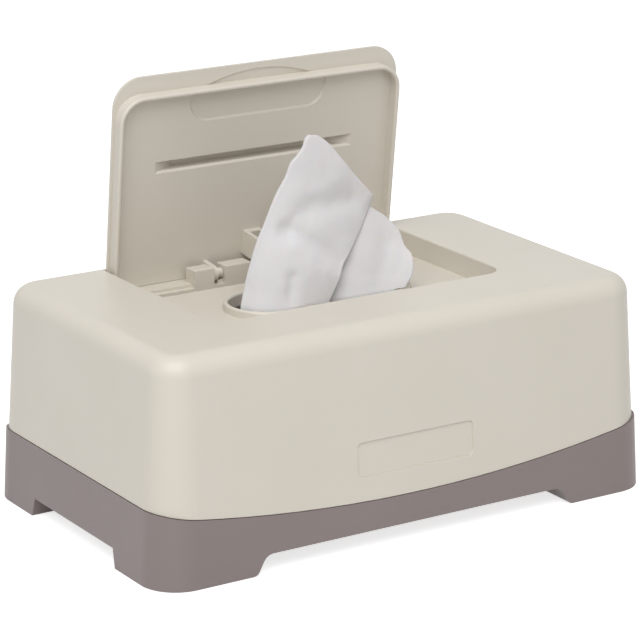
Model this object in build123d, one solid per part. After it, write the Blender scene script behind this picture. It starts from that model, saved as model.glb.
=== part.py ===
from build123d import *
import os
from math import hypot, radians, tan

# A baby wipes box: a footed tray, a drafted cover that lifts off it for
# refilling, and a flip lid over the slot that the wipes are pulled through.
# Millimetres. X runs along the length, -Y is the front, Z is up, and the
# origin is on the table under the middle of the box. The lid is drawn shut
# and then turned open, which is how the box stands at rest.

# Tray
TRAY_LENGTH = 230.0
TRAY_DEPTH = 140.0
TRAY_CORNER = 15.5
TRAY_DRAFT = 3.0            # degrees, narrower towards the seam
TRAY_WALL = 2.2
TRAY_FLOOR = 2.2
NOTCH_HEIGHT = 7.6          # clear height between the feet, above their plastic
FOOT_FRONT_HALF = 73.3      # half the gap between the feet along X, at the table
FOOT_FRONT_SLANT = 4.4
FOOT_SIDE_HALF = 34.0       # the same along Y
FOOT_SIDE_SLANT = 2.0
FOOT_TOE_ROUND = 3.0
FOOT_ARCH_ROUND = 5.0
WELL_WALL = 2.2
WELL_RIB = 1.6
WELL_FLOOR = 1.7

# Non-slip pads under the feet
PAD_LENGTH = 28.0
PAD_WIDTH = 22.0
PAD_CORNER = 6.0
PAD_THICKNESS = 1.5
PAD_PROUD = 0.3
PAD_PLAY = 0.2

# Seam between tray and cover: an arc across the front, lowest in the middle
SEAM_HEIGHT = 30.0
SEAM_DROP = 10.6
SEAM_GAP = 0.3
SEAM_STEP = 0.35            # how far the cover stands in from the tray

# Cover
HEIGHT = 89.0
COVER_DRAFT = 3.55
COVER_CORNER = 15.8
COVER_ROUND = 8.0
COVER_WALL = 2.2
PANEL_LENGTH = 54.0         # shallow bare panel sunk in the front face
PANEL_HEIGHT = 14.2
PANEL_LOW = 29.5
PANEL_CORNER = 2.2
PANEL_DEEP = 0.5
SKIRT_DEEP = 6.0
SKIRT_WALL = 1.8
SKIRT_PLAY = 0.3
SKIRT_ROOT = 0.8            # from the cover's outside to where the skirt's shoulder ends

# Pocket in the cover's top, under the lid
POCKET_HALF = 67.7
POCKET_FROM_FRONT = 39.5    # from the tray's front face, at the table
POCKET_DEEP = 9.5
POCKET_CORNER = 8.5
POCKET_REAR_CORNER = 0.6
POCKET_WALL = 2.0
POCKET_EDGE_ROUND = 0.7

# Slot that the wipes come through, with a raised lip
SLOT_FROM_FRONT = 73.0      # its middle, from the tray's front face at the table
SLOT_LENGTH = 79.0
SLOT_WIDTH = 30.0
LIP_WALL = 2.0
LIP_HEIGHT = 3.3
LIP_ROUND = 0.9

# Hinge
HINGE_FROM_REAR = 20.5      # from the tray's rear face, at the table
HINGE_DROP = 6.7            # below the cover's top
LID_OPEN = 83.25            # degrees from shut to the stop
KNUCKLE_HALF = 3.5          # square blocks, this far to each side of the hinge axis
KNUCKLE_RISE = 3.4          # above the hinge axis
KNUCKLE_ROUND = 0.5
KNUCKLE_CAP = 1.5           # the outer block closes off the end of its pin hole
INNER_KNUCKLE_START = 5.2
INNER_KNUCKLE_LENGTH = 12.3
OUTER_KNUCKLE_LENGTH = 9.4
HUB_RADIUS = 2.0
HUB_LENGTH = 2.5
ARM_WIDTH = 2.2
ARM_RADIUS = 3.0
ARM_PLAY = 0.3
PIN_RADIUS = 1.25
PIN_FIXED_PLAY = 0.02
PIN_TURNING_PLAY = 0.05
PIN_END_GAP = 0.2

# Well in the pocket's floor, in front of the knuckles, with a shallow ledge behind it
WELL_HALF = 51.5
WELL_WIDE = 7.7
WELL_DEEP = 6.5
LEDGE_WIDE = 2.4
LEDGE_DEEP = 1.3
HINGE_PLAY = 0.6

# Lid
LID_HALF = 67.0
LID_THICKNESS = 2.0
LID_OVERHANG = 6.1          # how far the lid reaches past the pocket's front edge
LID_TAIL = 3.5              # how far its plate reaches behind the hinge axis
LID_CORNER = 12.4
LID_TAIL_CORNER = 3.0
LID_EDGE_ROUND = 0.8
LID_GAP = 0.3
STOP_GAP = 0.1
RIM_IN = 6.9                # from the lid's free edge to the rim
RIM_SIDE_IN = 0.7
RIM_WALL = 1.8
RIM_HEIGHT = 5.0
RIM_ROUND = 0.8             # on both edges of its tip
RIM_REAR_IN = 2.6
RIM_CORNER = 11.0
CATCH_HALF = 4.1
CATCH_WALL = 1.8
CATCH_PAD = 3.0             # solid between the lid's plate and the catch's hollow
CATCH_DEEP = 11.9
CATCH_START = 3.8
CATCH_LENGTH = 10.1

# Grip rib and thumb pad: raised on the lid's outside, hollow on its inside
GRIP_HALF = 47.0
GRIP_TAPER = 10.0           # its hollow runs out over this length at each end
GRIP_FROM_EDGE = 36.8
GRIP_WIDE = 4.2
GRIP_DEEP = 5.0
GRIP_WALL = 1.3
GRIP_BEVEL = 0.8            # on the edge of the hollow nearer the hinge
THUMB_HALF = 32.3
THUMB_LENGTH = 19.7
THUMB_FROM_EDGE = 2.4
THUMB_ARCH = 8.0
THUMB_CORNER = 9.0
THUMB_DEEP = 0.8
THUMB_SLOPE = 45.0          # degrees, of the hollow's sides

# Wipes
STACK_LENGTH = 190.0
STACK_WIDTH = 105.0
STACK_HEIGHT = 47.0
STACK_CORNER = 7.0
STACK_ROUND = 3.0
WIPE_PLAY = 0.3
WIPE_HALF = 37.5            # half its width where it passes the slot
WIPE_RISE = 69.0            # above the pocket's floor
WIPE_THICK = 10.0
TINY = 0.001                # heights and places closer than this are the same

# Places that follow from the sizes above
foot_bottom = PAD_PROUD
notch_top = foot_bottom + NOTCH_HEIGHT
floor_top = notch_top + TRAY_FLOOR
tray_inset = (SEAM_HEIGHT - foot_bottom) * tan(radians(TRAY_DRAFT))
tray_top_half = TRAY_LENGTH / 2 - tray_inset
tray_top_half_depth = TRAY_DEPTH / 2 - tray_inset
cavity_half = tray_top_half - TRAY_WALL
cavity_half_depth = tray_top_half_depth - TRAY_WALL
cavity_corner = TRAY_CORNER - tray_inset - TRAY_WALL
seam_low = SEAM_HEIGHT - SEAM_DROP
cover_half = tray_top_half - SEAM_STEP
cover_half_depth = tray_top_half_depth - SEAM_STEP
hinge_y = TRAY_DEPTH / 2 - HINGE_FROM_REAR
hinge_z = HEIGHT - HINGE_DROP
pocket_front = POCKET_FROM_FRONT - TRAY_DEPTH / 2
slot_y = SLOT_FROM_FRONT - TRAY_DEPTH / 2
pocket_floor = HEIGHT - POCKET_DEEP
lid_under = HEIGHT + LID_GAP
lid_top = lid_under + LID_THICKNESS
lid_free = pocket_front - LID_OVERHANG
lid_tail = hinge_y + LID_TAIL
tail_reach = hypot(LID_TAIL - LID_THICKNESS, lid_under - hinge_z) + LID_THICKNESS
pocket_rear = hinge_y + tail_reach + STOP_GAP
knuckle_front = hinge_y - KNUCKLE_HALF
hub_start = INNER_KNUCKLE_START + INNER_KNUCKLE_LENGTH + ARM_PLAY
arm_start = hub_start + HUB_LENGTH
outer_knuckle_start = arm_start + ARM_WIDTH + ARM_PLAY
outer_knuckle_end = outer_knuckle_start + OUTER_KNUCKLE_LENGTH
pin_hole_end = outer_knuckle_end - KNUCKLE_CAP
well_front = knuckle_front - WELL_WIDE
well_floor = pocket_floor - WELL_DEEP
ledge_floor = pocket_floor - LEDGE_DEEP
arm_rear = hinge_y + ARM_RADIUS + HINGE_PLAY
catch_sweep = hypot(CATCH_START + CATCH_LENGTH, CATCH_DEEP + hinge_z - lid_under)
bay_front = hinge_y - catch_sweep - HINGE_PLAY
bay_half = CATCH_HALF + HINGE_PLAY
stack_top = floor_top + STACK_HEIGHT
wipe_foot = (stack_top + WIPE_PLAY - pocket_floor) / WIPE_RISE
hinge_axis = Axis((0, hinge_y, hinge_z), (-1, 0, 0))


# An upright prism on a plan outline, narrowing upwards by a draft in degrees
def prism(outline, low, high, draft=0.0):
    return extrude(Pos(0, 0, low) * outline, high - low, taper=draft)


# A plan outline with one radius at its front corners and one at its rear ones
def plan(half, front, rear, front_radius, rear_radius):
    outline = Pos(0, (front + rear) / 2) * Rectangle(2 * half, rear - front)
    outline = fillet(outline.vertices().group_by(Axis.Y)[0], front_radius)
    return fillet(outline.vertices().group_by(Axis.Y)[-1], rear_radius)


# A bar along X whose section is drawn in Y and Z
def bar(section, x_low, x_high):
    return extrude(Plane.YZ.offset(x_low) * section, x_high - x_low)


def block(x_low, x_high, y_low, y_high, z_low, z_high):
    middle = ((x_low + x_high) / 2, (y_low + y_high) / 2, (z_low + z_high) / 2)
    return Pos(*middle) * Box(x_high - x_low, y_high - y_low, z_high - z_low)


def both_sides(piece):
    return piece + mirror(piece, about=Plane.YZ)


# All that lies under the seam's arc, with the arc moved up by a shift
def under_seam(shift):
    half = TRAY_LENGTH / 2
    side = SEAM_HEIGHT + shift
    outline = ThreePointArc((-half, side), (0, side - SEAM_DROP), (half, side))
    outline += Polyline((half, side), (half, -half), (-half, -half), (-half, side))
    return extrude(Plane.XZ * make_face(outline), TRAY_DEPTH, both=True)


# The gap between two feet, seen end on, with slanted sides
def foot_gap(half, slant):
    wide = half + TRAY_CORNER
    low = foot_bottom - TRAY_WALL
    points = [(half, foot_bottom), (half - slant, notch_top)]
    left = [(-x, z) for x, z in reversed(points)]
    outside = [(-wide, foot_bottom), (-wide, low), (wide, low), (wide, foot_bottom)]
    return make_face(Polyline(*points, *left, *outside, close=True))


# The gap under the front has round corners above and round edges at the table
def round_gap(gap, half):
    gap = fillet(gap.vertices().group_by(Axis.Y)[-1], FOOT_ARCH_ROUND)
    toes = [v for v in gap.vertices().group_by(Axis.Y)[1] if abs(v.X) < half + TINY]
    return fillet(toes, FOOT_TOE_ROUND)


def foot_places():
    x = (FOOT_FRONT_HALF + TRAY_LENGTH / 2) / 2
    y = (FOOT_SIDE_HALF + TRAY_DEPTH / 2) / 2
    return {
        "front_left": (-x, -y),
        "front_right": (x, -y),
        "rear_left": (-x, y),
        "rear_right": (x, y),
    }


def make_tray():
    outline = RectangleRounded(TRAY_LENGTH, TRAY_DEPTH, TRAY_CORNER)
    tray = prism(outline, foot_bottom, SEAM_HEIGHT, TRAY_DRAFT) & under_seam(0)
    room = RectangleRounded(2 * cavity_half, 2 * cavity_half_depth, cavity_corner)
    tray -= prism(room, floor_top, SEAM_HEIGHT + TRAY_WALL)
    front = round_gap(foot_gap(FOOT_FRONT_HALF, FOOT_FRONT_SLANT), FOOT_FRONT_HALF)
    side = foot_gap(FOOT_SIDE_HALF, FOOT_SIDE_SLANT)
    tray -= extrude(Plane.XZ * front, TRAY_DEPTH, both=True)
    tray -= extrude(Plane.YZ * side, TRAY_LENGTH, both=True)
    # each foot is hollow from above, with a cross rib, and has a bed for its pad
    pad_bed = foot_bottom + PAD_THICKNESS - PAD_PROUD
    well = Rectangle(
        cavity_half - FOOT_FRONT_HALF - WELL_WALL,
        cavity_half_depth - FOOT_SIDE_HALF - WELL_WALL,
        align=(Align.MIN, Align.MIN),
    )
    middle = well.center()
    well -= Pos(middle.X, middle.Y) * Rectangle(TRAY_LENGTH, WELL_RIB)
    well -= Pos(middle.X, middle.Y) * Rectangle(WELL_RIB, TRAY_DEPTH)
    well = Pos(FOOT_FRONT_HALF + WELL_WALL, FOOT_SIDE_HALF + WELL_WALL) * well
    wells = prism(well & room, pad_bed + WELL_FLOOR, floor_top + TRAY_FLOOR)
    wells = both_sides(wells)
    tray -= wells + mirror(wells, about=Plane.XZ)
    bed = RectangleRounded(PAD_LENGTH + 2 * PAD_PLAY, PAD_WIDTH + 2 * PAD_PLAY, PAD_CORNER + PAD_PLAY)
    for x, y in foot_places().values():
        tray -= Pos(x, y) * prism(bed, foot_bottom, pad_bed)
    return tray


def make_pad(x, y):
    pad = prism(RectangleRounded(PAD_LENGTH, PAD_WIDTH, PAD_CORNER), 0, PAD_THICKNESS)
    return Pos(x, y) * pad


# The cover's outer form, or its inner one when drawn a wall smaller
def cover_form(wall, low, high):
    spread = (SEAM_HEIGHT - low) * tan(radians(COVER_DRAFT))
    outline = RectangleRounded(
        2 * (cover_half + spread - wall),
        2 * (cover_half_depth + spread - wall),
        COVER_CORNER + spread - wall,
    )
    form = prism(outline, low, high, COVER_DRAFT)
    return fillet(form.edges().group_by(Axis.Z)[-1], COVER_ROUND - wall)


def pin_hole(play):
    return Pos(hinge_y, hinge_z) * Circle(PIN_RADIUS + play)


# A square block of the cover that holds the pin, whose hole may end inside it
def make_knuckle(start, length, hole_end):
    low = ledge_floor - POCKET_WALL / 2
    top = hinge_z + KNUCKLE_RISE
    knuckle = block(start, start + length, knuckle_front, hinge_y + KNUCKLE_HALF, low, top)
    knuckle = fillet(knuckle.edges().group_by(Axis.Z)[-1], KNUCKLE_ROUND)
    return knuckle - bar(pin_hole(PIN_FIXED_PLAY), start, hole_end)


def round_pocket(cover):
    top = cover.edges().filter_by_position(Axis.Z, HEIGHT - TINY, HEIGHT + TINY)
    edges = [e for e in top if abs(e.center().X) < POCKET_HALF + TINY and abs(e.center().Y) < hinge_y]
    return fillet([e for e in edges if e.center().Y > pocket_front - TINY], POCKET_EDGE_ROUND)


# What the bare panel takes away from the front face, following its draft
def make_panel(low):
    outline = RectangleRounded(PANEL_LENGTH, PANEL_HEIGHT, PANEL_CORNER)
    outline = Pos(0, PANEL_LOW + PANEL_HEIGHT / 2) * outline
    return extrude(Plane.XZ * outline, TRAY_DEPTH) - cover_form(PANEL_DEEP, low, HEIGHT - PANEL_DEEP)


def make_skirt():
    half = cavity_half - SKIRT_PLAY
    half_depth = cavity_half_depth - SKIRT_PLAY
    corner = cavity_corner - SKIRT_PLAY
    inner = (2 * (half - SKIRT_WALL), 2 * (half_depth - SKIRT_WALL), corner - SKIRT_WALL)
    ring = RectangleRounded(2 * half, 2 * half_depth, corner) - RectangleRounded(*inner)
    skirt = prism(ring, 0, SEAM_HEIGHT + SKIRT_DEEP) & (under_seam(SKIRT_WALL) - under_seam(-SKIRT_DEEP))
    # above the seam a shoulder reaches from the skirt into the cover's wall
    root = RectangleRounded(
        2 * (cover_half - SKIRT_ROOT),
        2 * (cover_half_depth - SKIRT_ROOT),
        COVER_CORNER - SKIRT_ROOT,
    )
    shoulder = prism(root - RectangleRounded(*inner), 0, SEAM_HEIGHT + SKIRT_DEEP)
    return skirt + (shoulder & (under_seam(SKIRT_WALL) - under_seam(SEAM_GAP)))


def make_cover():
    low = seam_low - SEAM_STEP
    slot = Pos(0, slot_y) * SlotOverall(SLOT_LENGTH, SLOT_WIDTH)
    lip = Pos(0, slot_y) * SlotOverall(SLOT_LENGTH + 2 * LIP_WALL, SLOT_WIDTH + 2 * LIP_WALL)
    lip_top = pocket_floor + LIP_HEIGHT
    pocket = plan(POCKET_HALF, pocket_front, pocket_rear, POCKET_CORNER, POCKET_REAR_CORNER)
    jacket = plan(
        POCKET_HALF + POCKET_WALL,
        pocket_front - POCKET_WALL,
        TRAY_DEPTH / 2,
        POCKET_CORNER + POCKET_WALL,
        POCKET_REAR_CORNER,
    )
    well_jacket = block(
        -WELL_HALF - POCKET_WALL,
        WELL_HALF + POCKET_WALL,
        bay_front - POCKET_WALL,
        arm_rear + POCKET_WALL,
        well_floor - POCKET_WALL,
        HEIGHT,
    )
    inside = cover_form(COVER_WALL, low - COVER_WALL, HEIGHT - COVER_WALL)
    inside -= prism(jacket, pocket_floor - POCKET_WALL, HEIGHT) + well_jacket
    cover = cover_form(0, low, HEIGHT) - inside - under_seam(SEAM_GAP)
    cover -= make_panel(low) + prism(pocket, pocket_floor, HEIGHT + POCKET_WALL)
    cover = round_pocket(cover)
    room = HEIGHT - POCKET_WALL
    ledge_rear = knuckle_front + LEDGE_WIDE
    cover -= block(-WELL_HALF, WELL_HALF, well_front, knuckle_front, well_floor, room)
    cover -= block(-WELL_HALF, WELL_HALF, knuckle_front, ledge_rear, ledge_floor, room)
    cover -= block(-bay_half, bay_half, bay_front, well_front, well_floor, room)
    arm_slot = (arm_start - ARM_PLAY, outer_knuckle_start, knuckle_front, arm_rear)
    cover -= both_sides(block(*arm_slot, ledge_floor, room))
    cover += prism(lip, pocket_floor - POCKET_WALL, lip_top)
    cover -= prism(slot, pocket_floor - 2 * POCKET_WALL, HEIGHT)
    lip_edges = cover.edges().filter_by_position(Axis.Z, lip_top - TINY, lip_top + TINY)
    cover = fillet(lip_edges, LIP_ROUND)
    inner_end = INNER_KNUCKLE_START + INNER_KNUCKLE_LENGTH
    inner = make_knuckle(INNER_KNUCKLE_START, INNER_KNUCKLE_LENGTH, inner_end)
    outer = make_knuckle(outer_knuckle_start, OUTER_KNUCKLE_LENGTH, pin_hole_end)
    cover += both_sides(inner + outer)
    return cover + make_skirt()


# The grip's hollow, or its rib when drawn a wall larger: a bar across the lid
# whose ends slope, with a bevel on the mouth's edge nearer the hinge
def make_grip(wall):
    half = GRIP_HALF + wall
    front = lid_free + GRIP_FROM_EDGE - wall
    rear = front + GRIP_WIDE + 2 * wall
    top = lid_under + GRIP_DEEP + wall
    along = [(-half, lid_under), (GRIP_TAPER - half, top), (half - GRIP_TAPER, top), (half, lid_under)]
    across = [(front, lid_under), (front, top), (rear, top), (rear, lid_under + GRIP_BEVEL)]
    across.append((rear + GRIP_BEVEL, lid_under))
    grip = extrude(Plane.XZ * make_face(Polyline(*along, close=True)), TRAY_DEPTH, both=True)
    return grip & bar(make_face(Polyline(*across, close=True)), -half, half)


# The thumb pad: a flat edge towards the hinge and an arch towards the free edge
def thumb():
    peak = lid_free + THUMB_FROM_EDGE
    spring = peak + THUMB_ARCH
    rear = peak + THUMB_LENGTH
    outline = ThreePointArc((-THUMB_HALF, spring), (0, peak), (THUMB_HALF, spring))
    outline += Polyline((THUMB_HALF, spring), (THUMB_HALF, rear), (-THUMB_HALF, rear), (-THUMB_HALF, spring))
    outline = make_face(outline)
    return fillet(outline.vertices().group_by(Axis.Y)[-1], THUMB_CORNER)


def make_rim():
    half = LID_HALF - RIM_SIDE_IN
    front = lid_free + RIM_IN
    rear = hinge_y - RIM_REAR_IN
    low = lid_under - RIM_HEIGHT
    root = lid_under + THUMB_DEEP
    outer = plan(half, front, rear, RIM_CORNER, RIM_WALL / 2)
    inner = plan(half - RIM_WALL, front + RIM_WALL, rear + hinge_y, RIM_CORNER - RIM_WALL, RIM_WALL / 2)
    rim = prism(outer - inner, low, root)
    return fillet(rim.edges().group_by(Axis.Z)[0], RIM_ROUND)


# Hollow box at the middle of the hinge edge, open towards the free edge
def make_catch():
    rear = hinge_y - CATCH_START
    front = rear - CATCH_LENGTH
    low = lid_under - CATCH_DEEP
    inside = CATCH_HALF - CATCH_WALL
    catch = block(-CATCH_HALF, CATCH_HALF, front, rear, low, lid_under)
    hollow = (front, rear - CATCH_WALL, low + CATCH_WALL, lid_under - CATCH_PAD)
    return catch - block(-inside, inside, *hollow)


# The arm that hangs the lid on its pin, with a hub between it and the inner knuckle
def make_arm():
    middle = (hinge_z + lid_under) / 2
    section = Pos(hinge_y, hinge_z) * Circle(ARM_RADIUS)
    section += Pos(hinge_y, middle) * Rectangle(2 * ARM_RADIUS, lid_under - hinge_z)
    arm = bar(section, arm_start, arm_start + ARM_WIDTH)
    arm += bar(Pos(hinge_y, hinge_z) * Circle(HUB_RADIUS), hub_start, arm_start)
    return arm - bar(pin_hole(PIN_TURNING_PLAY), hub_start, arm_start + ARM_WIDTH)


def make_lid():
    outline = plan(LID_HALF, lid_free, lid_tail, LID_CORNER, LID_TAIL_CORNER)
    plate = prism(outline, lid_under, lid_top)
    plate = fillet(plate.edges().group_by(Axis.Z)[-1], LID_EDGE_ROUND)
    rib = make_grip(GRIP_WALL)
    rib = fillet(rib.edges().group_by(Axis.Z)[-1], GRIP_WALL / 2)
    pad = prism(thumb(), lid_top - LID_EDGE_ROUND, lid_top + THUMB_DEEP)
    pad = fillet(pad.edges().group_by(Axis.Z)[-1], THUMB_DEEP / 2)
    lid = plate + rib + pad - make_grip(0)
    lid -= prism(thumb(), lid_under, lid_under + THUMB_DEEP, THUMB_SLOPE)
    # the rim is rooted in the plate, so that it also bridges the thumb pad's hollow
    lid += make_rim() + make_catch() + both_sides(make_arm())
    # the tail is a quarter round, so that it passes the cover's rear wall as it turns
    tail = lid_tail - LID_THICKNESS
    corner = Pos(tail, lid_under) * Rectangle(
        2 * LID_THICKNESS, 2 * LID_THICKNESS, align=(Align.MIN, Align.MIN)
    )
    corner -= Pos(tail, lid_under) * Circle(LID_THICKNESS)
    return lid - bar(corner, -LID_HALF, LID_HALF)


def make_pin():
    section = Pos(hinge_y, hinge_z) * Circle(PIN_RADIUS)
    return bar(section, INNER_KNUCKLE_START, pin_hole_end - PIN_END_GAP)


def make_stack():
    outline = RectangleRounded(STACK_LENGTH, STACK_WIDTH, STACK_CORNER)
    stack = prism(outline, floor_top, stack_top)
    return fillet(stack.edges().group_by(Axis.Z)[-1], STACK_ROUND)


# A flattened leaf of the wipe as level slices: each gives its height as a share
# of the rise, its left and right end as shares of the half width, and its place
# along Y and its thickness as shares of the wipe's thickness
def make_leaf(slices):
    levels = Sketch()
    for rise, left, right, y, thick in slices:
        front = (y - thick / 2) * WIPE_THICK
        rear = (y + thick / 2) * WIPE_THICK
        ends = [(left * WIPE_HALF, y * WIPE_THICK), (right * WIPE_HALF, y * WIPE_THICK)]
        middle = (left + right) / 2 * WIPE_HALF
        outline = ThreePointArc(ends[0], (middle, front), ends[1])
        outline += ThreePointArc(ends[1], (middle, rear), ends[0])
        levels += Pos(0, slot_y, pocket_floor + rise * WIPE_RISE) * make_face(outline)
    return loft(levels, ruled=True)


# The wipe stands up in two leaves: a tall one that comes to a peak, and a lower
# one behind its right edge
def make_wipe():
    tall = [
        (wipe_foot, -0.85, 0.2, -0.35, 1.1),
        (0.0, -1.0, 0.05, -0.4, 0.9),
        (0.2, -1.0, 0.25, -0.4, 0.8),
        (0.4, -0.93, 0.4, -0.45, 0.7),
        (0.6, -0.72, 0.55, -0.45, 0.6),
        (0.72, -0.6, 0.38, -0.42, 0.5),
        (0.88, -0.44, 0.08, -0.4, 0.4),
        (1.0, -0.28, -0.16, -0.35, 0.25),
    ]
    low = [
        (wipe_foot, -0.1, 0.85, -0.15, 1.0),
        (0.0, -0.1, 0.98, -0.3, 0.9),
        (0.2, 0.0, 1.0, -0.3, 0.8),
        (0.36, 0.15, 0.92, -0.25, 0.6),
        (0.53, 0.3, 0.6, -0.2, 0.25),
    ]
    return make_leaf(tall) + make_leaf(low)


def main():
    lid = make_lid().rotate(hinge_axis, LID_OPEN)
    pin = make_pin()
    parts = {
        "base_tray": make_tray(),
        "top_cover": make_cover(),
        "lid": lid,
        "hinge_pin_right": pin,
        "hinge_pin_left": mirror(pin, about=Plane.YZ),
        "wipe_stack": make_stack(),
        "wipe_sheet": make_wipe(),
    }
    for place, (x, y) in foot_places().items():
        parts[f"foot_pad_{place}"] = make_pad(x, y)
    os.makedirs("parts", exist_ok=True)
    for name, piece in parts.items():
        export_step(piece, f"parts/{name}.step")
        print(name, round(piece.volume), piece.is_valid, len(piece.solids()))


if __name__ == "__main__":
    main()
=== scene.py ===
# %% [markdown]
# # A baby wipes box, dressed around its working parts
# The box is four kinds of moulding: a taupe footed tray, a cream cover that lifts off it, a cream
# flip lid, and four rubber pads. Inside stands a folded pack of wipes, and the top one is drawn up
# through the slot. The construction comes packed and is never touched here. This file gives it
# surfaces, adds the cloth, and sets the light and the camera.

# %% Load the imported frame
import bisect
import math
import random

import bpy
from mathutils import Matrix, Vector, noise


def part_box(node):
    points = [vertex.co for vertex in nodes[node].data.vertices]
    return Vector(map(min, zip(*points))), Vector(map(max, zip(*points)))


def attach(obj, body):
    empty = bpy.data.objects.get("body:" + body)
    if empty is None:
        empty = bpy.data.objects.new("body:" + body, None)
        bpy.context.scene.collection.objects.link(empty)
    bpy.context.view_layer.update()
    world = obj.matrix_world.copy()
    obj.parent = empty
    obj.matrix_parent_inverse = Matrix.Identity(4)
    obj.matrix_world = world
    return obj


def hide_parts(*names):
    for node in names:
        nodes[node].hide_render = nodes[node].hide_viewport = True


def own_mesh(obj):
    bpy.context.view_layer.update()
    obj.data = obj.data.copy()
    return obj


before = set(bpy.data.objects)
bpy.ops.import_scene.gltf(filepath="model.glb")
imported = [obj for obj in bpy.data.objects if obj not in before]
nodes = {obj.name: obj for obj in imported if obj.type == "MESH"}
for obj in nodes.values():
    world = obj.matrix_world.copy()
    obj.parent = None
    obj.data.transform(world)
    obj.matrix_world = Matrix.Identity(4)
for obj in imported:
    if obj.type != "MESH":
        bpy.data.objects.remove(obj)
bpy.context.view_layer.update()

MM = 0.001
print("nodes:", ", ".join(sorted(nodes)))

# %% [markdown]
# ## Camera
# The photograph looks at the front from the left and slightly from above, with a long lens, so the
# box's edges stay nearly parallel. A camera is placed by the direction it looks from and its
# distance, rather than by coordinates, because those are what a photographer would choose.

# %% Place the camera
AZIMUTH = math.radians(-32.49)
ELEVATION = math.radians(16.85)
DISTANCE = 1.222  # m
SENSOR = 36.0  # mm
LENS = 171.5  # mm
AIM = Vector((-1.0, 0.0, 71.6)) * MM

back = Vector(
    (
        math.sin(AZIMUTH) * math.cos(ELEVATION),
        -math.cos(AZIMUTH) * math.cos(ELEVATION),
        math.sin(ELEVATION),
    )
)
camera = bpy.data.objects.new("camera", bpy.data.cameras.new("camera"))
bpy.context.scene.collection.objects.link(camera)
camera.data.sensor_width = SENSOR
camera.data.lens = LENS
camera.location = AIM + back * DISTANCE
camera.rotation_mode = "QUATERNION"
camera.rotation_quaternion = (-back).to_track_quat("-Z", "Y")
bpy.context.scene.camera = camera
print("camera at", [round(c, 3) for c in camera.location])

# %% [markdown]
# ## Colours and nodes
# Colours are written as the hex values one would pick from a swatch. Blender's shaders work in
# linear light, so one function takes them through the sRGB curve. Nodes could be placed by hand in
# the shader editor, but a script has to be readable, so a second function adds a node with its
# settings and its links in one call. Two short ones start an empty material and put one on a piece.


# %% Helpers for materials
def linear(hex_colour):
    channels = [int(hex_colour[i : i + 2], 16) / 255 for i in (1, 3, 5)]
    return [c / 12.92 if c <= 0.04045 else ((c + 0.055) / 1.055) ** 2.4 for c in channels] + [1.0]


def add(tree, kind, settings=(), values=(), links=()):
    """A node with its settings, the values of its inputs, and links into its inputs."""
    node = tree.nodes.new("ShaderNode" + kind)
    for name, value in dict(settings).items():
        setattr(node, name, value)
    for name, value in dict(values).items():
        node.inputs[name].default_value = value
    for name, source in dict(links).items():
        tree.links.new(source, node.inputs[name])
    return node


def blank(name):
    material = bpy.data.materials.new(name)
    material.use_nodes = True
    material.node_tree.nodes.clear()
    return material, material.node_tree


def dress(piece, material):
    piece.data.materials.clear()
    piece.data.materials.append(material)


print("the middle grey #808080 is", round(linear("#808080")[0], 3), "in linear light")

# %% [markdown]
# ## Satin moulded polypropylene
# The tray, cover and lid are injection moulded polypropylene. The steel mould was sparked to a
# fine grain, which gives the eye a satin surface: soft wide highlights, no sharp reflections, and
# a faint mottling where the grain is a little deeper. A photographed texture would show seams and
# repeats, so two scales of noise do that: one for the grain, drawn coarser than the real 0.1 mm so
# that it shows, and one for the slow swell of a moulded wall as it shrinks.


# %% Make the moulded plastic
GRAIN = 0.45  # mm
GRAIN_DEPTH = 0.02  # mm
GRAIN_STRENGTH = 0.5
SWELL = 38.0  # mm
GLOSS_SPREAD = 0.05


def moulded(name, colour, shade, roughness):
    material, tree = blank(name)
    place = add(tree, "TexCoord").outputs["Object"]
    grain = add(
        tree, "TexNoise", values={"Scale": 1 / (GRAIN * MM), "Detail": 2.0}, links={"Vector": place}
    )
    swell = add(
        tree, "TexNoise", values={"Scale": 1 / (SWELL * MM), "Detail": 2.0}, links={"Vector": place}
    )
    tint = add(
        tree,
        "Mix",
        settings={"data_type": "RGBA"},
        values={"A": linear(colour), "B": linear(shade)},
        links={"Factor": swell.outputs["Fac"]},
    )
    gloss = add(
        tree,
        "MapRange",
        values={"To Min": roughness - GLOSS_SPREAD, "To Max": roughness + GLOSS_SPREAD},
        links={"Value": swell.outputs["Fac"]},
    )
    bump = add(
        tree,
        "Bump",
        values={"Strength": GRAIN_STRENGTH, "Distance": GRAIN_DEPTH * MM},
        links={"Height": grain.outputs["Fac"]},
    )
    surface = add(
        tree,
        "BsdfPrincipled",
        values={"IOR": 1.49},
        links={
            "Base Color": tint.outputs["Result"],
            "Roughness": gloss.outputs["Result"],
            "Normal": bump.outputs["Normal"],
        },
    )
    add(tree, "OutputMaterial", links={"Surface": surface.outputs["BSDF"]})
    return material


cream = moulded("satin_polypropylene_cream", "#D6D0C5", "#D2CCC0", 0.42)
taupe = moulded("satin_polypropylene_taupe", "#847977", "#807573", 0.46)
for name in ("top_cover", "lid"):
    dress(nodes[name], cream)
dress(nodes["base_tray"], taupe)
print("plastic on top_cover, lid and base_tray")

# %% [markdown]
# ## Rubber pads and wire pins
# The pads under the feet are a soft thermoplastic rubber, matt because its surface scatters all
# light, and a little dusty in its pores. The two hinge pins are drawn steel wire: a metal with fine
# lines along its length, which stretch its highlights. The lines could be cut into the mesh, but
# they are too fine for it, so a noise drawn out along the pins stands for them.


# %% Make the rubber and the wire
PORE = 0.8  # mm
PORE_DEPTH = 0.05  # mm
DRAW_LINE = 0.12  # mm
DRAW_DEPTH = 0.01  # mm
LINE_STRETCH = 50  # how many times longer than wide a line is


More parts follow.
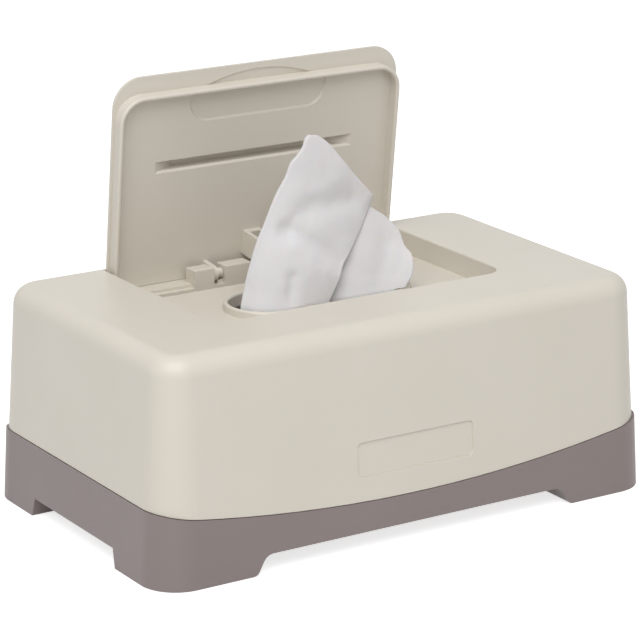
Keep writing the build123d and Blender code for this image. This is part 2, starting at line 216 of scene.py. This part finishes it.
def moulded_rubber():
    material, tree = blank("thermoplastic_rubber_taupe")
    place = add(tree, "TexCoord").outputs["Object"]
    pores = add(
        tree, "TexNoise", values={"Scale": 1 / (PORE * MM), "Detail": 3.0}, links={"Vector": place}
    )
    bump = add(
        tree,
        "Bump",
        values={"Strength": 0.4, "Distance": PORE_DEPTH * MM},
        links={"Height": pores.outputs["Fac"]},
    )
    tint = add(
        tree,
        "Mix",
        settings={"data_type": "RGBA"},
        values={"A": linear("#6E6664"), "B": linear("#645D5B")},
        links={"Factor": pores.outputs["Fac"]},
    )
    surface = add(
        tree,
        "BsdfPrincipled",
        values={"Roughness": 0.85, "IOR": 1.5},
        links={"Base Color": tint.outputs["Result"], "Normal": bump.outputs["Normal"]},
    )
    add(tree, "OutputMaterial", links={"Surface": surface.outputs["BSDF"]})
    return material


def drawn_wire():
    material, tree = blank("drawn_steel_wire")
    place = add(tree, "TexCoord").outputs["Object"]
    along = add(
        tree, "Mapping", values={"Scale": (1 / LINE_STRETCH, 1.0, 1.0)}, links={"Vector": place}
    )
    lines = add(
        tree,
        "TexNoise",
        values={"Scale": 1 / (DRAW_LINE * MM), "Detail": 2.0},
        links={"Vector": along.outputs["Vector"]},
    )
    bump = add(
        tree,
        "Bump",
        values={"Strength": 0.2, "Distance": DRAW_DEPTH * MM},
        links={"Height": lines.outputs["Fac"]},
    )
    surface = add(
        tree,
        "BsdfPrincipled",
        values={"Base Color": linear("#C4C4C6"), "Metallic": 1.0, "Roughness": 0.3},
        links={"Normal": bump.outputs["Normal"]},
    )
    add(tree, "OutputMaterial", links={"Surface": surface.outputs["BSDF"]})
    return material


rubber = moulded_rubber()
wire = drawn_wire()
pads = [name for name in nodes if name.startswith("foot_pad")]
pins = [name for name in nodes if name.startswith("hinge_pin")]
for name in pads:
    dress(nodes[name], rubber)
for name in pins:
    dress(nodes[name], wire)
print("rubber on", len(pads), "pads, wire on", len(pins), "pins")

# %% [markdown]
# ## The drawn-up wipe
# One wipe stands up through the slot. It is a single sheet in three leaves: a front leaf whose free
# side runs down its right, a fold at its left, a wider middle leaf, a second fold at the right, and
# a short leaf hidden at the back. A cloth simulation would drop it into folds of its own, and these
# folds have to be the photographed ones, so each leaf is a surface between four boundary lines. Their
# points are given in millimetres, and the lines that the photograph shows follow it.

# %% Draw the boundary lines
SIDE_HEM = [
    (-3.2, -10.6, 82.6),
    (0.4, -10.2, 88.2),
    (3.7, -9.1, 92.8),
    (6.9, -7.2, 96.6),
    (10.6, -4.8, 100.1),
    (14.7, -2.7, 103.8),
    (18.2, -1.4, 108.2),
    (21.7, 0.0, 113.2),
    (24.5, -0.1, 119.6),
]
LEFT_FOLD = [
    (-37.1, -1.0, 83.1),
    (-35.0, 0.0, 89.4),
    (-33.5, 0.3, 94.3),
    (-30.8, 0.8, 101.6),
    (-28.1, 1.0, 108.4),
    (-25.1, 1.0, 114.2),
    (-20.0, 1.0, 124.8),
    (-15.5, 0.7, 132.0),
    (-13.2, 0.5, 137.4),
    (-10.4, 0.2, 140.2),
    (-7.8, 0.0, 143.5),
    (-6.6, 0.0, 146.8),
    (-4.9, 0.0, 148.1),
]
FRONT_TOP = [
    (24.5, -0.1, 119.6),
    (21.6, -1.0, 122.4),
    (14.9, -1.0, 129.7),
    (8.8, -1.0, 136.7),
    (3.1, -0.6, 143.6),
    (-2.1, -0.2, 147.6),
    (-4.9, 0.0, 148.1),
]
FRONT_LOW = [
    (-3.2, -10.6, 82.6),
    (-12.2, -11.3, 82.6),
    (-20.7, -11.7, 82.6),
    (-29.2, -9.3, 82.7),
    (-34.6, -5.6, 82.8),
    (-37.1, -1.0, 83.1),
]
RIGHT_FOLD = [
    (31.5, -12.3, 83.2),
    (33.2, -12.2, 85.5),
    (34.8, -11.8, 87.2),
    (35.9, -11.0, 89.4),
    (36.8, -10.0, 92.0),
]
MIDDLE_TOP = [
    (-4.9, 1.6, 148.1),
    (6.0, 1.8, 137.0),
    (15.0, 2.0, 126.0),
    (21.0, 1.6, 118.0),
    (23.9, 1.2, 114.8),
    (29.5, 0.7, 110.9),
    (32.3, 0.2, 108.2),
    (34.2, -0.6, 106.0),
    (35.9, -1.8, 103.1),
    (36.4, -4.6, 98.2),
    (37.6, -7.6, 95.3),
    (36.8, -10.0, 92.0),
]
MIDDLE_LOW = [
    (-37.1, 0.6, 83.1),
    (-30.0, -3.6, 82.8),
    (-20.0, -6.4, 82.6),
    (-9.0, -7.2, 82.5),
    (-2.0, -7.4, 82.4),
    (2.5, -8.2, 82.4),
    (6.5, -9.2, 82.4),
    (12.0, -9.8, 82.5),
    (22.5, -10.3, 82.7),
    (28.0, -11.4, 83.0),
    (31.5, -12.3, 83.2),
]
BACK_TOP = [(36.8, -8.4, 92.0), (31.0, -2.0, 98.0), (24.0, 3.0, 101.5), (14.0, 6.0, 100.0)]
BACK_SIDE = [(-5.0, 6.5, 82.6), (2.0, 7.0, 90.0), (14.0, 6.0, 100.0)]
BACK_LOW = [
    (31.5, -10.7, 83.2),
    (28.0, -7.0, 83.0),
    (20.0, -1.5, 82.8),
    (10.0, 3.5, 82.6),
    (-5.0, 6.5, 82.6),
]
print("the wipe's peak is", LEFT_FOLD[-1][2], "mm above the table")

# %% [markdown]
# A track is a smooth line through a few points, read by the share of its length, so that rows and
# columns come out evenly spaced whatever the points are. A leaf then blends its two sides and its
# two ends (a Coons patch). A subdivided plane could be pulled to shape by hand, but its edges would
# only come near the lines, and a patch meets all four exactly.


# %% Tracks and leaves
TRACK_STEPS = 12


def track(points):
    knots = [Vector(point) for point in points]
    knots = [2 * knots[0] - knots[1]] + knots + [2 * knots[-1] - knots[-2]]
    line = []
    for before, start, end, after in zip(knots, knots[1:], knots[2:], knots[3:]):
        bend = 2 * before - 5 * start + 4 * end - after
        twist = 3 * (start - end) + after - before
        for step in range(TRACK_STEPS):
            t = step / TRACK_STEPS
            line.append(start + ((end - before) * t + bend * t**2 + twist * t**3) / 2)
    line.append(knots[-2])
    lengths = [0.0]
    for a, b in zip(line, line[1:]):
        lengths.append(lengths[-1] + (b - a).length)

    def place(share):
        target = share * lengths[-1]
        found = max(1, min(bisect.bisect_left(lengths, target), len(line) - 1))
        gap = lengths[found] - lengths[found - 1]
        return line[found - 1].lerp(line[found], (target - lengths[found - 1]) / gap)

    return place


def leaf(start, end, low, top):
    start, end, low, top = (track(points) for points in (start, end, low, top))

    def place(u, v):
        sides = start(v) * (1 - u) + end(v) * u
        ends = low(u) * (1 - v) + top(u) * v
        below = start(0) * (1 - u) + end(0) * u
        above = start(1) * (1 - u) + end(1) * u
        return sides + ends - (below * (1 - v) + above * v)

    return place


FOLD_RADIUS = 0.8  # mm
BEHIND = Vector((0, 2 * FOLD_RADIUS, 0))


def behind(points):
    return [Vector(point) + BEHIND for point in points]


front_leaf = leaf(SIDE_HEM, LEFT_FOLD, FRONT_LOW, FRONT_TOP)
middle_leaf = leaf(behind(LEFT_FOLD), RIGHT_FOLD, MIDDLE_LOW, MIDDLE_TOP)
back_leaf = leaf(behind(RIGHT_FOLD), BACK_SIDE, BACK_LOW, BACK_TOP)
print("the front leaf's middle is at", [round(c, 1) for c in front_leaf(0.5, 0.5)])

# %% [markdown]
# The creases are soft valleys along a few lines, seen from the front, plus noise at three sizes.
# They could be sculpted, leaf by leaf, but a depth that depends on x and z alone makes leaves that
# lie on each other crease together, so they never cross. The creases die out at the left fold, and
# grow shallow towards the slot, where the cloth is held. Each valley has a depth, a width and a
# line, and each ripple has a size and a height, all in millimetres.

# %% Crease the cloth
VALLEYS = [
    (1.5, 5.0, [(12.5, 119.5), (3.1, 119.8), (-5.9, 119.0), (-13.8, 116.4), (-18.4, 111.8)]),
    (1.7, 4.0, [(-19.7, 112.0), (-11.8, 108.6), (-2.9, 101.6), (3.5, 96.5)]),
    (1.2, 2.6, [(-19.2, 93.5), (-19.5, 91.5), (-20.4, 88.6), (-21.7, 83.0)]),
    (0.9, 4.0, [(29.0, 99.0), (24.0, 91.0), (20.0, 83.0)]),
]
RIPPLES = [(26.0, 0.7), (10.0, 0.4), (4.0, 0.12)]
CALM = 9.0  # how far from the left fold the creases are full
CREASE_START = 82.0  # the height where they are shallowest
CREASE_FULL = 89.0  # the height from which they are full
CREASE_LEAST = 0.25  # their share of full depth at the slot


def off_line(spot, points):
    nearest = []
    for start, end in zip(points, points[1:]):
        start, end = Vector(start), Vector(end)
        along = (spot - start).dot(end - start) / (end - start).length_squared
        nearest.append((spot - start.lerp(end, max(0.0, min(along, 1.0)))).length)
    return min(nearest)


def crease(point):
    spot = point.xz
    deep = sum(
        depth * math.exp(-((off_line(spot, line) / width) ** 2)) for depth, width, line in VALLEYS
    )
    for size, height in RIPPLES:
        deep += height * noise.noise(Vector((spot.x / size, size, spot.y / size)))
    held = max(0.0, min((point.z - CREASE_START) / (CREASE_FULL - CREASE_START), 1.0))
    calm = min(off_line(spot, [(x, z) for x, y, z in LEFT_FOLD]) / CALM, 1.0)
    share = CREASE_LEAST + (1 - CREASE_LEAST) * held
    return point + Vector((0, deep * share * calm, 0))


middle = front_leaf(0.5, 0.5)
print("there, the creases push it back by", round(crease(middle).y - middle.y, 2), "mm")

# %% [markdown]
# Under its lowest row each column of the sheet goes in over the slot's lip, through the slot, down
# to the pack, and turns back along the top of the pack. The cloth could end at the slot, where the
# camera stops seeing it, but it would hang in the air when the cover is lifted off. The layers turn
# round one centre, so the front one ends up lowest. The slot is a stadium, and a point outside it
# is pulled in to just inside its edge. All these values are in millimetres.

# %% Lead the cloth down to the pack
SLOT_END = Vector((24.5, 3.0))  # the centre of the slot's right end, in x and y
SLOT_RADIUS = 15.0
LIP_TOP = 83.3  # heights
NECK = 79.6
UNDER = 75.5
LIP_MARGIN = 0.8  # how far the cloth stays from the slot's edge
NECK_MARGIN = 1.3
UNDER_SHARE = 0.8  # how much of its depth the sheet keeps under the slot
GATHER = 0.93  # how much of its width it keeps there
TURN_CENTRE = Vector((6.0, 63.6))  # in y and z
TURN_RADIUS = 6.2
TURN_ANGLES = (0, 30, 60, 90)  # degrees
LAYER = 0.6  # from one layer on the pack to the next
HEM_BACK = 47.0  # where the hem on the pack lies, in y


def in_slot(point, margin, height):
    centre = Vector((max(-SLOT_END.x, min(point.x, SLOT_END.x)), SLOT_END.y))
    away = point.xy - centre
    reach = min(away.length, SLOT_RADIUS - margin)
    edge = centre + away.normalized() * reach
    return Vector((edge.x, edge.y, height))


def lead_down(point, layer):
    over = in_slot(point, LIP_MARGIN, min(point.z, LIP_TOP))
    neck = in_slot(point, NECK_MARGIN, NECK)
    under = Vector((neck.x, neck.y * UNDER_SHARE, UNDER))
    x = neck.x * GATHER
    centre_y, centre_z = TURN_CENTRE
    radius = TURN_RADIUS - LAYER * layer
    path = [point, over, neck, under]
    for angle in TURN_ANGLES:
        turn = math.radians(angle)
        path.append((x, centre_y - radius * math.cos(turn), centre_z - radius * math.sin(turn)))
    path.append((x, (centre_y + HEM_BACK) / 2, centre_z - radius))
    path.append((x, HEM_BACK, centre_z - radius))
    return track(path)


print("the lowest layer lies", round(TURN_CENTRE.y - TURN_RADIUS, 1), "mm above the table")

# %% [markdown]
# The sheet is one grid, because a real wipe is one piece of cloth, and its flat grid also serves the
# material. Its columns go across the front leaf, round a fold, across the middle leaf, round the
# other fold and across the back leaf, and its rows rise from the hem on the pack to the top hem.
# A plain grid is added, each of its vertices is moved to its place, and Solidify gives it the
# thickness of the cloth.

# %% Build the wipe
ACROSS = (64, 88, 40)  # columns of the front, middle and back leaf
TURN = 6  # columns round a fold, between its two leaves
RISING = 76  # rows above the slot
SINKING = 44  # rows below it
CLOTH_THICKNESS = 0.3  # mm
WIPE_FLAT = (0.17, 0.13)  # m


def round_fold(edge, side):
    def place(share):
        angle = math.pi * (share - 0.5)
        bulge = Vector((side * math.cos(angle), 1 + math.sin(angle), 0)) * FOLD_RADIUS
        return lambda v: edge(v) + bulge

    return [(place((i + 1) / (TURN + 1)), (i + 1) / (TURN + 1)) for i in range(TURN)]


columns = []
for count, surface, layer in zip(ACROSS, (front_leaf, middle_leaf, back_leaf), range(3)):
    for i in range(count + 1):
        columns.append((lambda v, u=i / count, surface=surface: surface(u, v), layer))
    if layer < 2:
        fold = track((LEFT_FOLD, RIGHT_FOLD)[layer])
        columns += [(column, layer + share) for column, share in round_fold(fold, (-1, 1)[layer])]

places = []
for column, layer in columns:
    foot = crease(column(0))
    path = lead_down(foot, layer)
    below = [path(1 - row / SINKING) for row in range(SINKING)]
    places.append(below + [crease(column(row / RISING)) for row in range(RISING + 1)])

bpy.ops.object.select_all(action="DESELECT")
bpy.ops.mesh.primitive_grid_add(
    x_subdivisions=len(columns) - 1, y_subdivisions=RISING + SINKING, size=2
)
wipe = bpy.context.object
wipe.name = "drawn_up_wipe"
for index, vertex in enumerate(wipe.data.vertices):
    row, column = divmod(index, len(columns))
    vertex.co = places[column][row] * MM
bpy.ops.object.shade_smooth()
thick = wipe.modifiers.new("cloth thickness", "SOLIDIFY")
thick.thickness = CLOTH_THICKNESS * MM
thick.offset = 0
print(len(columns), "columns and", RISING + SINKING + 1, "rows")

# %% [markdown]
# ## The pack of wipes
# The rest of the wipes lie folded in the tray. They could be separate sheets, but wet wipes stick
# together and only their edges show, so the pack is a closed skin over a rounded block. Its sides
# ripple once for each folded wipe, each a little further in or out than its neighbours, and its top
# is faintly wavy.

# %% Build the pack
PACK_WIPES = 31
ROWS_PER_WIPE = 4
AROUND = 176
TOP_ROWS = 12
PACK_CORNER = 6.0  # mm, as are the next five
RIPPLE = 0.7
SHUFFLE = 0.5
WAVE = 0.25
WAVE_LENGTH = 30.0
MERGE = 0.01

low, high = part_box("wipe_stack")
pack_half = Vector(((high[0] - low[0]) / 2, (high[1] - low[1]) / 2)) / MM
pack_low, pack_high = low[2] / MM, high[2] / MM


def round_block(share, inset):
    """A point on the pack's outline, with its corners round, drawn smaller by an inset."""
    straight = [2 * (pack_half.x - PACK_CORNER), 2 * (pack_half.y - PACK_CORNER)] * 2
    bend = PACK_CORNER * math.pi / 2
    left = share * (sum(straight) + 4 * bend)
    for side, length in enumerate(straight):
        turn = side * math.pi / 2
        ahead = Vector((math.cos(turn), math.sin(turn)))
        out = Vector((ahead.y, -ahead.x))
        half = length / 2
        reach = (pack_half.y, pack_half.x)[side % 2]
        if left <= length:
            return ahead * (left - half) + out * (reach - inset)
        left -= length
        if left <= bend:
            angle = left / PACK_CORNER
            centre = ahead * half + out * (reach - PACK_CORNER)
            from_centre = out * math.cos(angle) + ahead * math.sin(angle)
            return centre + from_centre * (PACK_CORNER - inset)
        left -= bend
    return ahead * -half + out * (reach - inset)


random.seed(7)
shifts = [random.uniform(0, SHUFFLE) for _ in range(PACK_WIPES)]
side_rows = PACK_WIPES * ROWS_PER_WIPE
rings = [(0.0, RIPPLE, pack_low), (0.5, RIPPLE, pack_low)]
for row in range(side_rows + 1):
    number = min(row // ROWS_PER_WIPE, PACK_WIPES - 1)
    fold = abs(math.sin(math.pi * row / ROWS_PER_WIPE))
    height = pack_low + (pack_high - pack_low) * row / side_rows
    rings.append((1.0, shifts[number] + RIPPLE * (1 - fold), height))
first_top_ring = len(rings)
for row in range(TOP_ROWS):
    rings.append((1 - (row + 1) / TOP_ROWS, RIPPLE, pack_high))

bpy.ops.object.select_all(action="DESELECT")
bpy.ops.mesh.primitive_grid_add(x_subdivisions=AROUND, y_subdivisions=len(rings) - 1, size=2)
pack = bpy.context.object
pack.name = "pack_of_wipes"
for index, vertex in enumerate(pack.data.vertices):
    row, column = divmod(index, AROUND + 1)
    scale, inset, height = rings[row]
    spot = round_block(column / AROUND, inset) * scale
    if row >= first_top_ring:
        wave = noise.noise(Vector((spot.x / WAVE_LENGTH, spot.y / WAVE_LENGTH, 0)))
        height -= WAVE * (1 + wave)
    vertex.co = Vector((spot.x, spot.y, height)) * MM
bpy.ops.object.mode_set(mode="EDIT")
bpy.ops.mesh.select_all(action="SELECT")
bpy.ops.mesh.remove_doubles(threshold=MERGE * MM)
bpy.ops.mesh.normals_make_consistent(inside=False)
bpy.ops.object.mode_set(mode="OBJECT")
bpy.ops.object.shade_smooth()
print("a pack of", PACK_WIPES, "folded wipes,", round(pack_high - pack_low, 1), "mm high")

# %% [markdown]
# ## Spunlace viscose
# Wet wipes are spunlace: viscose and polyester fibres tangled by water jets into a soft, faintly
# pitted sheet that lets some light through. The base is a soft neutral white, quite rough, with a
# sheen from the loose fibres, some scattering below the surface, and a bump of pits and fibres. The
# real fibres are about 0.02 mm thick and are drawn coarser, so that they show. On the drawn-up wipe
# the pattern could be read from its place in space, but it would then run straight through the
# folds, so it is read from the sheet's own flat grid and bends with it.


# %% Make the cloth
PIT = 1.3  # mm, as are the next four
PIT_DEPTH = 0.08
FIBRE = 0.3
FIBRE_DEPTH = 0.05
SCATTER = 1.5


def spunlace(name, reading, scale):
    material, tree = blank(name)
    source = add(tree, "TexCoord").outputs[reading]
    flat = add(tree, "Mapping", values={"Scale": scale}, links={"Vector": source})
    place = flat.outputs["Vector"]
    pits = add(tree, "TexVoronoi", values={"Scale": 1 / (PIT * MM)}, links={"Vector": place})
    fibres = add(
        tree, "TexNoise", values={"Scale": 1 / (FIBRE * MM), "Detail": 3.0}, links={"Vector": place}
    )
    pitted = add(
        tree,
        "Bump",
        values={"Strength": 0.25, "Distance": PIT_DEPTH * MM},
        links={"Height": pits.outputs["Distance"]},
    )
    tangled = add(
        tree,
        "Bump",
        values={"Strength": 0.35, "Distance": FIBRE_DEPTH * MM},
        links={"Height": fibres.outputs["Fac"], "Normal": pitted.outputs["Normal"]},
    )
    tint = add(
        tree,
        "Mix",
        settings={"data_type": "RGBA"},
        values={"A": linear("#DFDBDC"), "B": linear("#D6D3D4")},
        links={"Factor": fibres.outputs["Fac"]},
    )
    surface = add(
        tree,
        "BsdfPrincipled",
        values={
            "Roughness": 0.9,
            "IOR": 1.4,
            "Sheen Weight": 0.15,
            "Subsurface Weight": 0.15,
            "Subsurface Scale": SCATTER * MM,
        },
        links={"Base Color": tint.outputs["Result"], "Normal": tangled.outputs["Normal"]},
    )
    add(tree, "OutputMaterial", links={"Surface": surface.outputs["BSDF"]})
    return material


viscose = spunlace("spunlace_viscose", "UV", (*WIPE_FLAT, 1.0))
folded = spunlace("folded_spunlace_viscose", "Object", (1.0, 1.0, 1.0))
for piece, node, cloth in ((wipe, "wipe_sheet", viscose), (pack, "wipe_stack", folded)):
    dress(piece, cloth)
    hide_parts(node)
    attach(piece, "root")
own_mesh(wipe)
print("viscose on the wipe and on the pack")

# %% [markdown]
# ## Studio
# The photograph is a plain packshot: a white sweep, and soft light from all round that is stronger
# from above and in front. Three lamps would do, but a world and one lamp are easier to balance: the
# world gives the even part, and one broad lamp high over the camera gives the rest. The floor is a
# pale diffuse plane. To the camera, and in reflections, it also glows, so that it comes out white
# while the shadow under the box stays.

# %% Light the studio
WORLD_LEVEL = 0.38
LAMP_WATTS = 24.5
LAMP_SIZE = 1.6  # m
LAMP_PLACE = Vector((-0.6, -0.76, 1.4))  # m
FLOOR_SIZE = 30.0  # m
FLOOR_GLOW = 0.72


def seen_or_mirrored(tree):
    """1 for what the camera sees, straight on or by a reflection or through glass, and else 0."""
    ray = add(tree, "LightPath")
    seen = ray.outputs["Is Camera Ray"]
    for other in ("Is Glossy Ray", "Is Transmission Ray"):
        either = add(tree, "Math", settings={"operation": "MAXIMUM"})
        tree.links.new(seen, either.inputs[0])
        tree.links.new(ray.outputs[other], either.inputs[1])
        seen = either.outputs["Value"]
    return seen


world = bpy.data.worlds.new("studio")
world.use_nodes = True
world.node_tree.nodes.clear()
level = add(
    world.node_tree,
    "MapRange",
    values={"To Min": WORLD_LEVEL, "To Max": 1.0},
    links={"Value": seen_or_mirrored(world.node_tree)},
)
sky = add(
    world.node_tree,
    "Background",
    values={"Color": linear("#FFFFFF")},
    links={"Strength": level.outputs["Result"]},
)
add(world.node_tree, "OutputWorld", links={"Surface": sky.outputs["Background"]})
bpy.context.scene.world = world

lamp = bpy.data.objects.new("broad_lamp", bpy.data.lights.new("broad_lamp", "AREA"))
lamp.data.energy = LAMP_WATTS
lamp.data.size = LAMP_SIZE
lamp.location = LAMP_PLACE
lamp.rotation_mode = "QUATERNION"
lamp.rotation_quaternion = LAMP_PLACE.to_track_quat("Z", "Y")
bpy.context.scene.collection.objects.link(lamp)

bpy.ops.object.select_all(action="DESELECT")
bpy.ops.mesh.primitive_plane_add(size=FLOOR_SIZE)
floor = bpy.context.object
floor.name = "floor"
paper, paper_tree = blank("matt_paper_sweep")
diffuse = add(paper_tree, "BsdfDiffuse", values={"Color": linear("#E7E7E7")})
glow_level = add(
    paper_tree,
    "MapRange",
    values={"To Min": 0.0, "To Max": FLOOR_GLOW},
    links={"Value": seen_or_mirrored(paper_tree)},
)
glow = add(paper_tree, "Emission", links={"Strength": glow_level.outputs["Result"]})
both = add(paper_tree, "AddShader")
paper_tree.links.new(diffuse.outputs["BSDF"], both.inputs[0])
paper_tree.links.new(glow.outputs["Emission"], both.inputs[1])
add(paper_tree, "OutputMaterial", links={"Surface": both.outputs["Shader"]})
dress(floor, paper)
bpy.context.scene.view_settings.view_transform = "Standard"
print("one lamp of", LAMP_WATTS, "W and a world of", WORLD_LEVEL)
